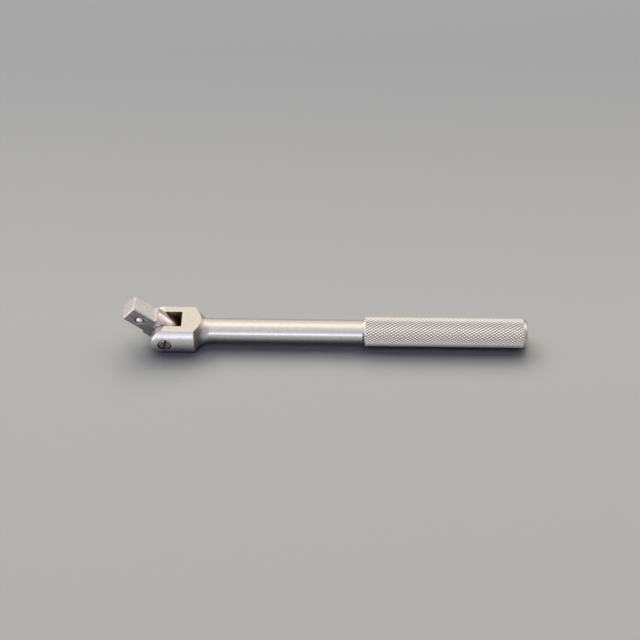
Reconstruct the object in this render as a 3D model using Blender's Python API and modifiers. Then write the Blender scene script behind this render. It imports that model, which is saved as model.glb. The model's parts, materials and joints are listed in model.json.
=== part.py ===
"""Spinner handle: a one-piece steel bar with a forked end, and a square drive head that tilts in the fork.

All sizes are in metres and +Z is up. The bar lies along +X, and its grip end is the far one. The pivot
runs along Y, so the head swings in the XZ plane. The origin lies on the fork's lower flat, on the centre
line, half-way from the floor of the slot to the cone. The near cheek of the fork, which takes the head
of the pivot screw, is at -Y.
"""

import math

import bmesh
import bpy
from mathutils import Matrix, Vector

# Drive head. Reaches are measured along the head from the pivot towards the end of the square.
DRIVE_SQUARE = 0.0127
DRIVE_CORNER_DIAMETER = 0.0169
DRIVE_REACH = 0.0315
DRIVE_END_CHAMFER = 0.0009
SHOULDER_REACH = 0.0136
SHOULDER_FILLET = 0.0012
CORNER_RUNOUT = 0.0006
COLLAR_DIAMETER = 0.0194
COLLAR_LENGTH = 0.0066
TANG_DIAMETER = 0.0184
TANG_TAPER = 0.0030
TILT = math.radians(41.5)

# Fork. Lengths are measured from the pivot towards the grip.
FORK_DIAMETER = 0.0304
FLAT_SPAN = 0.0200
SLOT_DEPTH = 0.0111
FORK_LENGTH = 0.0196
FORK_END_SHIFT = 0.0005
CONE_SLOPE = math.radians(50)
FORK_EDGE_ROUND = 0.0007
NECK_FILLET = 0.0065

# Shank and grip.
SHANK_DIAMETER = 0.0158
GRIP_START = 0.1337
GRIP_LENGTH = 0.1064
GRIP_EDGE_ROUND = 0.0005
GRIP_END_CHAMFER = 0.0018
GRIP_END_CROWN = 0.0007

# Pivot screw, from its slotted head in the near cheek to its thread in the far cheek.
PIN_DIAMETER = 0.0070
PIN_SEAT = 0.0015
SCREW_HEAD_DIAMETER = 0.0086
SCREW_HEAD_HEIGHT = 0.0034
SCREW_HEAD_CHAMFER = 0.0004
SCREW_HEAD_SINK = 0.0008
THREAD_DIAMETER = 0.0060
THREAD_END_CHAMFER = 0.0006
THREAD_END_SINK = 0.0006
SCREW_SLOT_WIDTH = 0.0011
SCREW_SLOT_DEPTH = 0.0013
SCREW_SLOT_TURN = math.radians(16)

# Detent ball of the square, held in by the lip of its bore.
DETENT_BALL_DIAMETER = 0.0050
DETENT_FROM_END = 0.0097
DETENT_MOUTH_DIAMETER = 0.0049
DETENT_SINK_DIAMETER = 0.0066
DETENT_SINK_DEPTH = 0.0003
DETENT_LIP = 0.0002
DETENT_LIP_TAPER = 0.0003
DETENT_LIP_GAP = 0.0001
DETENT_BACK_WALL = 0.0020
DETENT_WIRE = 0.0006
DETENT_COIL_DIAMETER = 0.0040
DETENT_TURNS = 5

# Friction ball and spring, in a bore along the bar at the bottom of the slot.
FRICTION_BALL_DIAMETER = 0.0055
FRICTION_BORE_DEPTH = 0.0140
FRICTION_WIRE = 0.0008
FRICTION_COIL_DIAMETER = 0.0044
FRICTION_TURNS = 6

# Gaps between pieces, and the overrun by which a cutter passes the surface that it cuts.
FIT_GAP = 0.0003
TANG_SIDE_GAP = 0.00035
CUT_OVERRUN = 0.0030
MERGE_DISTANCE = 0.000001

# Fineness of the round shapes, and the unit in which the script prints a gap.
BAR_STEPS = 64
HEAD_STEPS = 48
SCREW_STEPS = 32
BORE_STEPS = 32
BALL_SEGMENTS = 24
BALL_RINGS = 12
ARC_STEPS = 6
ROUND_END_STEPS = 24
COIL_POINTS_PER_TURN = 10
SHARP_ANGLE = math.radians(28)
MM_PER_METRE = 1000

# Sizes that follow from those above.
HALF_SQUARE = DRIVE_SQUARE / 2
HALF_FLAT = FLAT_SPAN / 2
HALF_SLOT = HALF_SQUARE + TANG_SIDE_GAP
FORK_RADIUS = FORK_DIAMETER / 2
SHANK_RADIUS = SHANK_DIAMETER / 2
GRIP_RADIUS = HALF_FLAT
TANG_RADIUS = TANG_DIAMETER / 2
COLLAR_RADIUS = COLLAR_DIAMETER / 2
CONE_END = FORK_LENGTH + (FORK_RADIUS - SHANK_RADIUS) / math.tan(CONE_SLOPE)
NECK_END = CONE_END + NECK_FILLET * math.tan(CONE_SLOPE / 2)
GRIP_FULL_END = GRIP_START + GRIP_LENGTH
BAR_END = GRIP_FULL_END + GRIP_END_CHAMFER + GRIP_END_CROWN
DETENT_REACH = DRIVE_REACH - DETENT_FROM_END
ORIGIN_REACH = (SLOT_DEPTH + FORK_LENGTH) / 2
PIVOT = Vector((-ORIGIN_REACH, 0, HALF_FLAT))


def clear_scene():
    for obj in list(bpy.data.objects):
        bpy.data.objects.remove(obj, do_unlink=True)


def new_collection(name):
    collection = bpy.data.collections.new(name)
    bpy.context.scene.collection.children.link(collection)
    return collection


def steel(name, color, roughness):
    """A bare or plated steel, told apart by its colour and roughness."""
    material = bpy.data.materials.new(name)
    material.use_nodes = True
    shader = material.node_tree.nodes["Principled BSDF"]
    shader.inputs["Base Color"].default_value = (*color, 1)
    shader.inputs["Metallic"].default_value = 1
    shader.inputs["Roughness"].default_value = roughness
    return material


def rounded(corners, steps=ARC_STEPS):
    """The points of an open outline of (x, y, radius) corners, each radius turned into an arc."""
    points = [Vector(corners[0][:2])]
    for (ax, ay, _), (bx, by, radius), (cx, cy, _) in zip(corners, corners[1:], corners[2:]):
        corner = Vector((bx, by))
        before = (Vector((ax, ay)) - corner).normalized()
        after = (Vector((cx, cy)) - corner).normalized()
        if radius == 0:
            points.append(corner)
            continue
        half = before.angle(after) / 2
        centre = corner + (before + after).normalized() * radius / math.sin(half)
        start = corner + before * radius / math.tan(half) - centre
        end = corner + after * radius / math.tan(half) - centre
        turn = start.angle_signed(end)
        for i in range(steps + 1):
            points.append(centre + Matrix.Rotation(-turn * i / steps, 2) @ start)
    points.append(Vector(corners[-1][:2]))
    return points


def turned(name, profile, steps, collection):
    """A solid turned about its local Z from (radius, height) points, top to bottom down the outer side."""
    mesh = bpy.data.meshes.new(name)
    edges = [(i, i + 1) for i in range(len(profile) - 1)]
    mesh.from_pydata([(radius, 0, height) for radius, height in profile], edges, [])
    obj = bpy.data.objects.new(name, mesh)
    collection.objects.link(obj)
    screw = obj.modifiers.new("Turn", "SCREW")
    screw.steps = steps
    screw.render_steps = steps
    screw.use_merge_vertices = True
    screw.merge_threshold = MERGE_DISTANCE
    return obj


def prism(name, outline, depth, collection):
    """A flat outline of (x, y) points, made depth thick along its local Z, half to each side."""
    curve = bpy.data.curves.new(name, "CURVE")
    curve.dimensions = "2D"
    curve.fill_mode = "BOTH"
    curve.extrude = depth / 2
    spline = curve.splines.new("POLY")
    spline.points.add(len(outline) - 1)
    for point, (x, y) in zip(spline.points, outline):
        point.co = (x, y, 0, 1)
    spline.use_cyclic_u = True
    guide = bpy.data.objects.new(name + "_outline", curve)
    collection.objects.link(guide)
    bpy.context.view_layer.update()
    evaluated = guide.evaluated_get(bpy.context.evaluated_depsgraph_get())
    mesh = bpy.data.meshes.new_from_object(evaluated)
    bpy.data.objects.remove(guide)
    shape = bmesh.new()
    shape.from_mesh(mesh)
    bmesh.ops.remove_doubles(shape, verts=shape.verts, dist=MERGE_DISTANCE)
    bmesh.ops.recalc_face_normals(shape, faces=shape.faces)
    shape.to_mesh(mesh)
    shape.free()
    obj = bpy.data.objects.new(name, mesh)
    collection.objects.link(obj)
    return obj


def box(name, size, collection):
    mesh = bpy.data.meshes.new(name)
    shape = bmesh.new()
    bmesh.ops.create_cube(shape, size=1, matrix=Matrix.Diagonal((*size, 1)))
    shape.to_mesh(mesh)
    shape.free()
    obj = bpy.data.objects.new(name, mesh)
    collection.objects.link(obj)
    return obj


def ball(name, diameter, collection):
    mesh = bpy.data.meshes.new(name)
    shape = bmesh.new()
    bmesh.ops.create_uvsphere(
        shape, u_segments=BALL_SEGMENTS, v_segments=BALL_RINGS, radius=diameter / 2
    )
    shape.to_mesh(mesh)
    shape.free()
    obj = bpy.data.objects.new(name, mesh)
    collection.objects.link(obj)
    return obj


def coil(name, coil_diameter, wire, length, turns, collection):
    """A compression spring round its local Z, its wire's centre line rising from 0 to length."""
    count = turns * COIL_POINTS_PER_TURN + 1
    points = []
    for i in range(count):
        angle = math.tau * i / COIL_POINTS_PER_TURN
        x = coil_diameter / 2 * math.cos(angle)
        y = coil_diameter / 2 * math.sin(angle)
        points.append(Vector((x, y, length * i / (count - 1))))
    apart = COIL_POINTS_PER_TURN // 2
    pairs = [(a, b) for i, a in enumerate(points) for b in points[i + apart:]]
    least = min((a - b).length for a, b in pairs) - wire
    print(f"{name}: the least gap between its turns is {least * MM_PER_METRE:.2f} mm")
    curve = bpy.data.curves.new(name, "CURVE")
    curve.dimensions = "3D"
    curve.bevel_depth = wire / 2
    curve.bevel_resolution = 1
    curve.use_fill_caps = True
    spline = curve.splines.new("POLY")
    spline.points.add(count - 1)
    for point, place in zip(spline.points, points):
        point.co = (*place, 1)
    obj = bpy.data.objects.new(name, curve)
    collection.objects.link(obj)
    return obj


def cut(obj, cutter):
    """Cut the cutter's shape out of an object."""
    cutter.hide_render = True
    cutter.display_type = "WIRE"
    boolean = obj.modifiers.new("Cut " + cutter.name, "BOOLEAN")
    boolean.operation = "DIFFERENCE"
    boolean.solver = "EXACT"
    boolean.object = cutter


def finish(obj, material):
    """Turn the modifiers into a mesh, smooth its round faces and give it its material."""
    bpy.context.view_layer.update()
    evaluated = obj.evaluated_get(bpy.context.evaluated_depsgraph_get())
    mesh = bpy.data.meshes.new_from_object(evaluated)
    mesh.name = obj.name
    obj.modifiers.clear()
    obj.data = mesh
    mesh.shade_smooth()
    mesh.set_sharp_from_angle(angle=SHARP_ANGLE)
    mesh.materials.clear()
    mesh.materials.append(material)


def bar_profile():
    """The turned outline of the bar, with heights measured from the pivot towards the grip end."""
    crown_radius = GRIP_RADIUS - GRIP_END_CHAMFER
    crown = (crown_radius**2 + GRIP_END_CROWN**2) / (2 * GRIP_END_CROWN)
    crown_angle = math.asin(crown_radius / crown)
    points = []
    for i in range(ARC_STEPS):
        angle = crown_angle * i / ARC_STEPS
        points.append((crown * math.sin(angle), BAR_END - crown * (1 - math.cos(angle))))
    blank_end = -HALF_FLAT - CUT_OVERRUN
    sides = [
        (crown_radius, BAR_END - GRIP_END_CROWN, 0),
        (GRIP_RADIUS, GRIP_FULL_END, 0),
        (GRIP_RADIUS, GRIP_START, GRIP_EDGE_ROUND),
        (SHANK_RADIUS, GRIP_START - (GRIP_RADIUS - SHANK_RADIUS), GRIP_EDGE_ROUND),
        (SHANK_RADIUS, CONE_END, NECK_FILLET),
        (FORK_RADIUS, FORK_LENGTH, FORK_EDGE_ROUND),
        (FORK_RADIUS, blank_end, 0),
        (0, blank_end, 0),
    ]
    return points + rounded(sides)


def fork_outline():
    """What the side view of the fork leaves out: above and below its flats, and past its round end."""
    reach = FORK_RADIUS + CUT_OVERRUN
    outline = [(NECK_END, HALF_FLAT)]
    for i in range(ROUND_END_STEPS + 1):
        angle = math.pi / 2 + math.pi * i / ROUND_END_STEPS
        outline.append((FORK_END_SHIFT + HALF_FLAT * math.cos(angle), HALF_FLAT * math.sin(angle)))
    outline.append((NECK_END, -HALF_FLAT))
    outline += [(NECK_END, -reach), (-reach, -reach), (-reach, reach), (NECK_END, reach)]
    return outline


def screw_places():
    """Where along Y the screw's head face, head seat, pin end and thread end lie."""
    face = SCREW_HEAD_SINK - FORK_RADIUS
    seat = face + SCREW_HEAD_HEIGHT
    pin_end = HALF_SLOT + PIN_SEAT
    thread_end = FORK_RADIUS - THREAD_END_SINK
    return face, seat, pin_end, thread_end


def make_handle_bar(parts, cutters, material):
    """Fork, cone, shank and grip in one piece. Its local Z runs along the bar from the pivot."""
    bar = turned("handle_bar", bar_profile(), BAR_STEPS, parts)
    bar.location = PIVOT
    bar.rotation_euler = (0, math.pi / 2, 0)

    width = 2 * (FORK_RADIUS + CUT_OVERRUN)
    outline = prism("fork_outline_cutter", fork_outline(), width, cutters)
    outline.location = PIVOT
    outline.rotation_euler = (-math.pi / 2, 0, 0)
    cut(bar, outline)

    slot_start = -HALF_FLAT - CUT_OVERRUN
    slot_size = (SLOT_DEPTH - slot_start, 2 * HALF_SLOT, FLAT_SPAN + CUT_OVERRUN)
    slot = box("fork_slot_cutter", slot_size, cutters)
    slot.location = PIVOT + Vector(((SLOT_DEPTH + slot_start) / 2, 0, 0))
    cut(bar, slot)

    _, seat, pin_end, _ = screw_places()
    far = FORK_RADIUS + CUT_OVERRUN
    head_radius = SCREW_HEAD_DIAMETER / 2 + FIT_GAP
    pin_radius = PIN_DIAMETER / 2 + FIT_GAP
    thread_radius = THREAD_DIAMETER / 2 + FIT_GAP
    profile = [
        (0, far),
        (thread_radius, far),
        (thread_radius, pin_end + FIT_GAP),
        (pin_radius, pin_end + FIT_GAP),
        (pin_radius, seat + FIT_GAP),
        (head_radius, seat + FIT_GAP),
        (head_radius, -far),
        (0, -far),
    ]
    bore = turned("pivot_bore_cutter", profile, BORE_STEPS, cutters)
    bore.location = PIVOT
    bore.rotation_euler = (-math.pi / 2, 0, 0)
    cut(bar, bore)

    radius = FRICTION_BALL_DIAMETER / 2 + FIT_GAP
    floor = SLOT_DEPTH + FRICTION_BORE_DEPTH
    mouth = SLOT_DEPTH - CUT_OVERRUN
    profile = [(0, floor), (radius, floor), (radius, mouth), (0, mouth)]
    bore = turned("friction_bore_cutter", profile, BORE_STEPS, cutters)
    bore.location = PIVOT
    bore.rotation_euler = (0, math.pi / 2, 0)
    cut(bar, bore)
    finish(bar, material)


def head_profile():
    """The turned outline of the head before milling, with heights measured from the pivot."""
    corner_radius = DRIVE_CORNER_DIAMETER / 2
    collar_back = SHOULDER_REACH - COLLAR_LENGTH
    points = [
        (0, DRIVE_REACH),
        (corner_radius - DRIVE_END_CHAMFER, DRIVE_REACH),
        (corner_radius, DRIVE_REACH - DRIVE_END_CHAMFER),
        (corner_radius, SHOULDER_REACH + CORNER_RUNOUT),
        (COLLAR_RADIUS, SHOULDER_REACH),
        (COLLAR_RADIUS, collar_back),
        (TANG_RADIUS, collar_back - TANG_TAPER),
    ]
    rings = HEAD_STEPS // 4
    for i in range(rings + 1):
        angle = math.pi / 2 * i / rings
        points.append((TANG_RADIUS * math.cos(angle), -TANG_RADIUS * math.sin(angle)))
    points[-1] = (0, -TANG_RADIUS)
    return points


def milled_side(foot):
    """What milling takes off one side of the head, from its end chamfer down to the given foot."""
    reach = COLLAR_RADIUS + CUT_OVERRUN
    top = DRIVE_REACH + CUT_OVERRUN
    chamfer_foot = DRIVE_REACH - DRIVE_END_CHAMFER
    return [
        (reach, top),
        (HALF_SQUARE - DRIVE_END_CHAMFER - CUT_OVERRUN, top),
        (HALF_SQUARE, chamfer_foot),
        *foot,
        (reach, foot[-1][1]),
    ]


def make_drive_head(parts, cutters, pivot, material):
    """Square, collar and tang in one piece. Its local Z runs from the pivot to the end of the square."""
    head = turned("drive_head", head_profile(), HEAD_STEPS, parts)
    head.parent = pivot
    depth = 2 * (COLLAR_RADIUS + CUT_OVERRUN)

    # The two faces square to the pivot run on down both sides of the tang.
    side = milled_side([(HALF_SQUARE, -TANG_RADIUS - CUT_OVERRUN)])
    # The other two end in a fillet at the shoulder of the collar.
    corners = [
        (HALF_SQUARE, DRIVE_REACH, 0),
        (HALF_SQUARE, SHOULDER_REACH, SHOULDER_FILLET),
        (COLLAR_RADIUS + CUT_OVERRUN, SHOULDER_REACH, 0),
    ]
    crown = milled_side([tuple(point) for point in rounded(corners)[1:-1]])
    for name, outline, turn in (
        ("far_side_cutter", side, math.pi / 2),
        ("near_side_cutter", side, -math.pi / 2),
        ("upper_face_cutter", crown, 0),
        ("lower_face_cutter", crown, math.pi),
    ):
        cutter = prism(name, outline, depth, cutters)
        cutter.parent = pivot
        stand_up = Matrix.Rotation(math.pi / 2, 3, "X")
        cutter.rotation_euler = (Matrix.Rotation(turn, 3, "Z") @ stand_up).to_euler()
        cut(head, cutter)

    reach = HALF_SQUARE + CUT_OVERRUN
    radius = PIN_DIAMETER / 2 + FIT_GAP
    bore = turned("tang_bore_cutter", [(0, reach), (radius, reach), (radius, -reach), (0, -reach)],
                  BORE_STEPS, cutters)
    bore.parent = pivot
    bore.rotation_euler = (math.pi / 2, 0, 0)
    cut(head, bore)

    mouth = DETENT_MOUTH_DIAMETER / 2
    sink = DETENT_SINK_DIAMETER / 2
    bore_radius = DETENT_BALL_DIAMETER / 2 + FIT_GAP
    lip_foot = -DETENT_SINK_DEPTH - DETENT_LIP
    floor = DETENT_BACK_WALL - DRIVE_SQUARE
    profile = [
        (0, CUT_OVERRUN),
        (sink, CUT_OVERRUN),
        (sink, 0),
        (mouth, -DETENT_SINK_DEPTH),
        (mouth, lip_foot),
        (bore_radius, lip_foot - DETENT_LIP_TAPER),
        (bore_radius, floor),
        (0, floor),
    ]
    bore = turned("detent_bore_cutter", profile, BORE_STEPS, cutters)
    bore.parent = pivot
    bore.location = (0, -HALF_SQUARE, DETENT_REACH)
    bore.rotation_euler = (math.pi / 2, 0, 0)
    cut(head, bore)
    finish(head, material)


def make_pivot_screw(parts, cutters, material):
    """Slotted screw: head in the near cheek, plain pin through the tang, thread in the far cheek."""
    face, seat, pin_end, thread_end = screw_places()
    head_radius = SCREW_HEAD_DIAMETER / 2
    profile = [
        (0, thread_end),
        (THREAD_DIAMETER / 2 - THREAD_END_CHAMFER, thread_end),
        (THREAD_DIAMETER / 2, thread_end - THREAD_END_CHAMFER),
        (THREAD_DIAMETER / 2, pin_end),
        (PIN_DIAMETER / 2, pin_end),
        (PIN_DIAMETER / 2, seat),
        (head_radius, seat),
        (head_radius, face + SCREW_HEAD_CHAMFER),
        (head_radius - SCREW_HEAD_CHAMFER, face),
        (0, face),
    ]
    screw = turned("pivot_screw", profile, SCREW_STEPS, parts)
    screw.location = PIVOT
    screw.rotation_euler = (-math.pi / 2, 0, 0)
    length = SCREW_HEAD_DIAMETER + CUT_OVERRUN
    size = (SCREW_SLOT_WIDTH, CUT_OVERRUN + SCREW_SLOT_DEPTH, length)
    slot = box("screw_slot_cutter", size, cutters)
    slot.location = PIVOT + Vector((0, face + (SCREW_SLOT_DEPTH - CUT_OVERRUN) / 2, 0))
    slot.rotation_euler = (0, SCREW_SLOT_TURN, 0)
    cut(screw, slot)
    finish(screw, material)


def spring_seat(ball_diameter, coil_diameter, wire):
    """How far behind a ball's centre its spring's end turn lies, clear of the ball by the fit gap."""
    reach = ball_diameter / 2 + wire / 2 + FIT_GAP
    return math.sqrt(reach**2 - (coil_diameter / 2) ** 2)


def make_detent(parts, pivot, ball_steel, spring_steel):
    """Ball and spring in the near face of the square. The ball rests against the lip of its bore."""
    centre_reach = math.sqrt(
        (DETENT_BALL_DIAMETER / 2 + DETENT_LIP_GAP) ** 2 - (DETENT_MOUTH_DIAMETER / 2) ** 2
    )
    depth = DETENT_SINK_DEPTH + DETENT_LIP + centre_reach
    detent = ball("detent_ball", DETENT_BALL_DIAMETER, parts)
    detent.parent = pivot
    detent.location = (0, depth - HALF_SQUARE, DETENT_REACH)
    finish(detent, ball_steel)

    seat = spring_seat(DETENT_BALL_DIAMETER, DETENT_COIL_DIAMETER, DETENT_WIRE)
    start = depth - HALF_SQUARE + seat
    end = HALF_SQUARE - DETENT_BACK_WALL - DETENT_WIRE / 2 - FIT_GAP
    spring = coil(
        "detent_spring", DETENT_COIL_DIAMETER, DETENT_WIRE, end - start, DETENT_TURNS, parts
    )
    spring.parent = pivot
    spring.location = (0, start, DETENT_REACH)
    spring.rotation_euler = (-math.pi / 2, 0, 0)
    spring.data.materials.append(spring_steel)


def make_friction(parts, ball_steel, spring_steel):
    """Ball and spring at the bottom of the slot. The ball bears on the round end of the tang."""
    centre = TANG_RADIUS + FIT_GAP + FRICTION_BALL_DIAMETER / 2
    bearing = ball("friction_ball", FRICTION_BALL_DIAMETER, parts)
    bearing.location = PIVOT + Vector((centre, 0, 0))
    finish(bearing, ball_steel)

    start = centre + spring_seat(FRICTION_BALL_DIAMETER, FRICTION_COIL_DIAMETER, FRICTION_WIRE)
    end = SLOT_DEPTH + FRICTION_BORE_DEPTH - FRICTION_WIRE / 2 - FIT_GAP
    spring = coil(
        "friction_spring", FRICTION_COIL_DIAMETER, FRICTION_WIRE, end - start, FRICTION_TURNS, parts
    )
    spring.location = PIVOT + Vector((start, 0, 0))
    spring.rotation_euler = (0, math.pi / 2, 0)
    spring.data.materials.append(spring_steel)


def main():
    clear_scene()
    parts = new_collection("spinner_handle")
    cutters = new_collection("cutters")
    satin_chrome = steel("satin_chrome", (0.72, 0.70, 0.67), 0.32)
    milled_chrome = steel("milled_chrome", (0.62, 0.61, 0.60), 0.38)
    dark_steel = steel("dark_screw_steel", (0.34, 0.33, 0.33), 0.45)
    ball_steel = steel("polished_ball_steel", (0.86, 0.86, 0.87), 0.08)
    spring_steel = steel("spring_steel", (0.42, 0.42, 0.43), 0.35)

    head_pivot = bpy.data.objects.new("head_pivot", None)
    head_pivot.location = PIVOT
    head_pivot.rotation_euler = (0, TILT - math.pi / 2, 0)
    parts.objects.link(head_pivot)

    make_handle_bar(parts, cutters, satin_chrome)
    make_drive_head(parts, cutters, head_pivot, milled_chrome)
    make_pivot_screw(parts, cutters, dark_steel)
    make_detent(parts, head_pivot, ball_steel, spring_steel)
    make_friction(parts, ball_steel, spring_steel)


main()
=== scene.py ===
"""Spinner handle: the looks of a one-piece forked bar with a knurled grip and a tilting square drive head.

Laid out as a Blender add-on and run as a script. Sizes are in metres in the part's own frame: +X runs along
the bar to the end of the grip, +Z up out of the fork's upper flat, and the pivot of the head lies along Y.
"""

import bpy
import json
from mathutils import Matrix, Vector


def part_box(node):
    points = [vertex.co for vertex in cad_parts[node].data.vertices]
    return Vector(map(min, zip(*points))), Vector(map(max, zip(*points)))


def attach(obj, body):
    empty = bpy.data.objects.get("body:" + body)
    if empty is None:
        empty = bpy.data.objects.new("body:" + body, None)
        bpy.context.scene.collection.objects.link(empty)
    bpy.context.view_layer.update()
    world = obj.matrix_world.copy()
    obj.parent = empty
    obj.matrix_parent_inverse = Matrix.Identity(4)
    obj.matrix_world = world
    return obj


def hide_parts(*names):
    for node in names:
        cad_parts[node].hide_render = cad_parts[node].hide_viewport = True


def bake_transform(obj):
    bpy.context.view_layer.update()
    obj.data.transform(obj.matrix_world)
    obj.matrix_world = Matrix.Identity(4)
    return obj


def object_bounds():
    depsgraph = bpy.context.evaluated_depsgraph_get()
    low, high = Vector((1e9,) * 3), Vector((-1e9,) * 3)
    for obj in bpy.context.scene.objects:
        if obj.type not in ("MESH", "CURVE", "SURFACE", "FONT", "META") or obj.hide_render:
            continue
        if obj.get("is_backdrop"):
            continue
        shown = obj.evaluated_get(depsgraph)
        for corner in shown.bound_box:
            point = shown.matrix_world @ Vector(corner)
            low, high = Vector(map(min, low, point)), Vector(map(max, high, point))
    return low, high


bl_info = {
    "name": "Spinner handle",
    "version": (1, 0, 0),
    "blender": (4, 5, 0),
    "location": "3D View > Sidebar > Spinner handle",
    "description": "Builds the visible surfaces of a flex-head spinner handle and the stage it lies on",
    "category": "Object",
}

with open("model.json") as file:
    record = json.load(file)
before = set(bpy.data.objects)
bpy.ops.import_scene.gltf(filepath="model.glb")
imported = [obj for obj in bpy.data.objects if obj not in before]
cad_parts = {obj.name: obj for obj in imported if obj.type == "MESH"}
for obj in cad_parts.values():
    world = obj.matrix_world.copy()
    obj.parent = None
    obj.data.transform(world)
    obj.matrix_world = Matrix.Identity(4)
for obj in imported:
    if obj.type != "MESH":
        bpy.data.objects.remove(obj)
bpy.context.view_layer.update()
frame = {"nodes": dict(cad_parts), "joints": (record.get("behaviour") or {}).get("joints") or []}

import json
import math

import bmesh
import bpy
import numpy as np
from bpy.props import FloatProperty, FloatVectorProperty, IntProperty, PointerProperty
from mathutils import Matrix, Vector

MM = 0.001
PIVOT = Vector(next(joint["pos_m"] for joint in frame["joints"] if joint["name"] == "head_tilt"))


# Sizes and colours that a user would change


def length(name, description, millimetres):
    return FloatProperty(
        name=name, description=description, default=millimetres * MM, unit="LENGTH", subtype="DISTANCE",
        precision=5,
    )


def angle(name, description, degrees):
    return FloatProperty(
        name=name, description=description, default=math.radians(degrees), unit="ROTATION", subtype="ANGLE"
    )


def count(name, description, default):
    return IntProperty(name=name, description=description, default=default, min=1)


def colour(name, description, code):
    return FloatVectorProperty(
        name=name, description=description, default=linear(code)[:3], subtype="COLOR", size=3, min=0, max=1
    )


def share(name, description, default):
    return FloatProperty(
        name=name, description=description, default=default, min=0, max=1, subtype="FACTOR"
    )


def level(name, description):
    return FloatProperty(
        name=name, description=description, default=1.0, min=0, soft_max=2, subtype="FACTOR"
    )


def linear(code):
    """An sRGB hex colour as linear red, green, blue and full alpha."""
    channels = [int(code[i : i + 2], 16) / 255 for i in (0, 2, 4)]
    return [c / 12.92 if c <= 0.04045 else ((c + 0.055) / 1.055) ** 2.4 for c in channels] + [1]


class SpinnerBarSettings(bpy.types.PropertyGroup):
    """Fork, neck and shank."""

    fork_diameter: length("Fork diameter", "Across the round sides of the fork", 30.4)
    flat_span: length("Across flats", "From the fork's lower flat to its upper one", 20.0)
    slot_width: length("Slot width", "Between the two cheeks", 13.4)
    slot_floor: length("Slot floor", "From the pivot to the floor of the slot", 11.1)
    fork_length: length("Fork length", "From the pivot to where the cone starts", 19.6)
    end_shift: length("End shift", "How far the centre of the round end lies behind the pivot", 0.5)
    cone_slope: angle("Cone slope", "Angle of the cone to the bar", 50)
    neck_fillet: length("Neck fillet", "Radius between cone and shank", 10.0)
    shank_diameter: length("Shank diameter", "Plain part of the bar", 15.8)
    end_round: length("End rounding", "Rounding of the cheeks' ends on their outer side", 1.6)
    cone_break: length("Cone break", "Rounding between the round sides and the cone", 0.9)
    edge_break: length("Edge break", "Rounding of the other edges of the fork", 0.3)
    plate: colour("Plate", "Satin chrome of the bar", "DFDEE0")
    # Painted shade on the cone.
    cone: colour("Cone", "Thin, dull plate on the cone", "A09692")
    # Painted shade in the slot and the bores.
    inside: colour("Inside", "Thin, dull plate in the slot and the bores", "A09080")


class SpinnerGripSettings(bpy.types.PropertyGroup):
    """Diamond-knurled grip."""

    diameter: length("Diameter", "Over the crests of the knurl", 20.0)
    start: length("Start", "From the pivot to the start of the full diameter", 133.7)
    grip_length: length("Length", "Length of the full diameter", 105.4)
    end_rounding: length("End rounding", "Length of the rounding at the free end", 2.79)
    end_drop: length("End drop", "How much the rounding takes off the radius", 2.9)
    end_crown: length("End crown", "Height of the crowned end face", 0.7)
    first_ridges: count("First ridges", "Ridges of the first direction round the grip", 33)
    first_slant: angle("First slant", "Slant of the first ridges to the bar", 31.3)
    second_ridges: count("Second ridges", "Ridges of the second direction round the grip", 28)
    second_slant: angle("Second slant", "Slant of the second ridges to the bar", 38.5)
    depth: length("Knurl depth", "From crest to groove", 0.5)
    second_depth: share("Second depth", "Depth of the second grooves as a share of the first", 0.85)
    groove_share: share("Groove share", "Share of a ridge's pitch that its groove takes", 0.7)
    cap: colour("Cap", "Chrome on the turned free end", "D0CCCE")
    crest: colour("Crest", "Chrome on the worn crests of the knurl", "F6F4F4")
    # Painted shade at the bottom of the grooves.
    groove: colour("Groove", "Chrome at the bottom of the grooves", "807C82")


class SpinnerHeadSettings(bpy.types.PropertyGroup):
    """Square drive head."""

    square: length("Square", "Across the flats of the drive", 12.7)
    corner_diameter: length("Corner diameter", "Across the turned corners of the square", 16.9)
    reach: length("Reach", "From the pivot to the end of the square", 31.5)
    end_chamfer: length("End chamfer", "Chamfer round the end of the square", 0.9)
    shoulder: length("Shoulder", "From the pivot to the shoulder of the collar", 13.6)
    fillet: length("Fillet", "Radius between square and shoulder", 1.2)
    collar_diameter: length("Collar diameter", "Across the collar", 19.4)
    collar_length: length("Collar length", "Length of the full collar", 6.6)
    tang_diameter: length("Tang diameter", "Across the tang and its ball-shaped end", 18.4)
    tang_taper: length("Tang taper", "Length over which the collar runs down to the tang", 3.0)
    pivot_bore: length("Pivot bore", "Bore of the tang for the pivot screw", 7.6)
    detent_inset: length("Detent inset", "From the end of the square to the middle of the ball", 9.7)
    tilt: angle("Tilt", "Angle of the head above the bar", 41.5)
    plate: colour("Plate", "Satin chrome of the milled faces", "E2DEDF")
    # Painted shade on the two flanks, streaked by the cutter lines.
    flank_shade: colour("Flank", "Oily cutter lines on the two flanks", "A9A6AC")
    # Painted shade in a ring round the detent ball.
    grime: colour("Grime", "Ring of grime round the detent ball", "5A5658")


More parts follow.
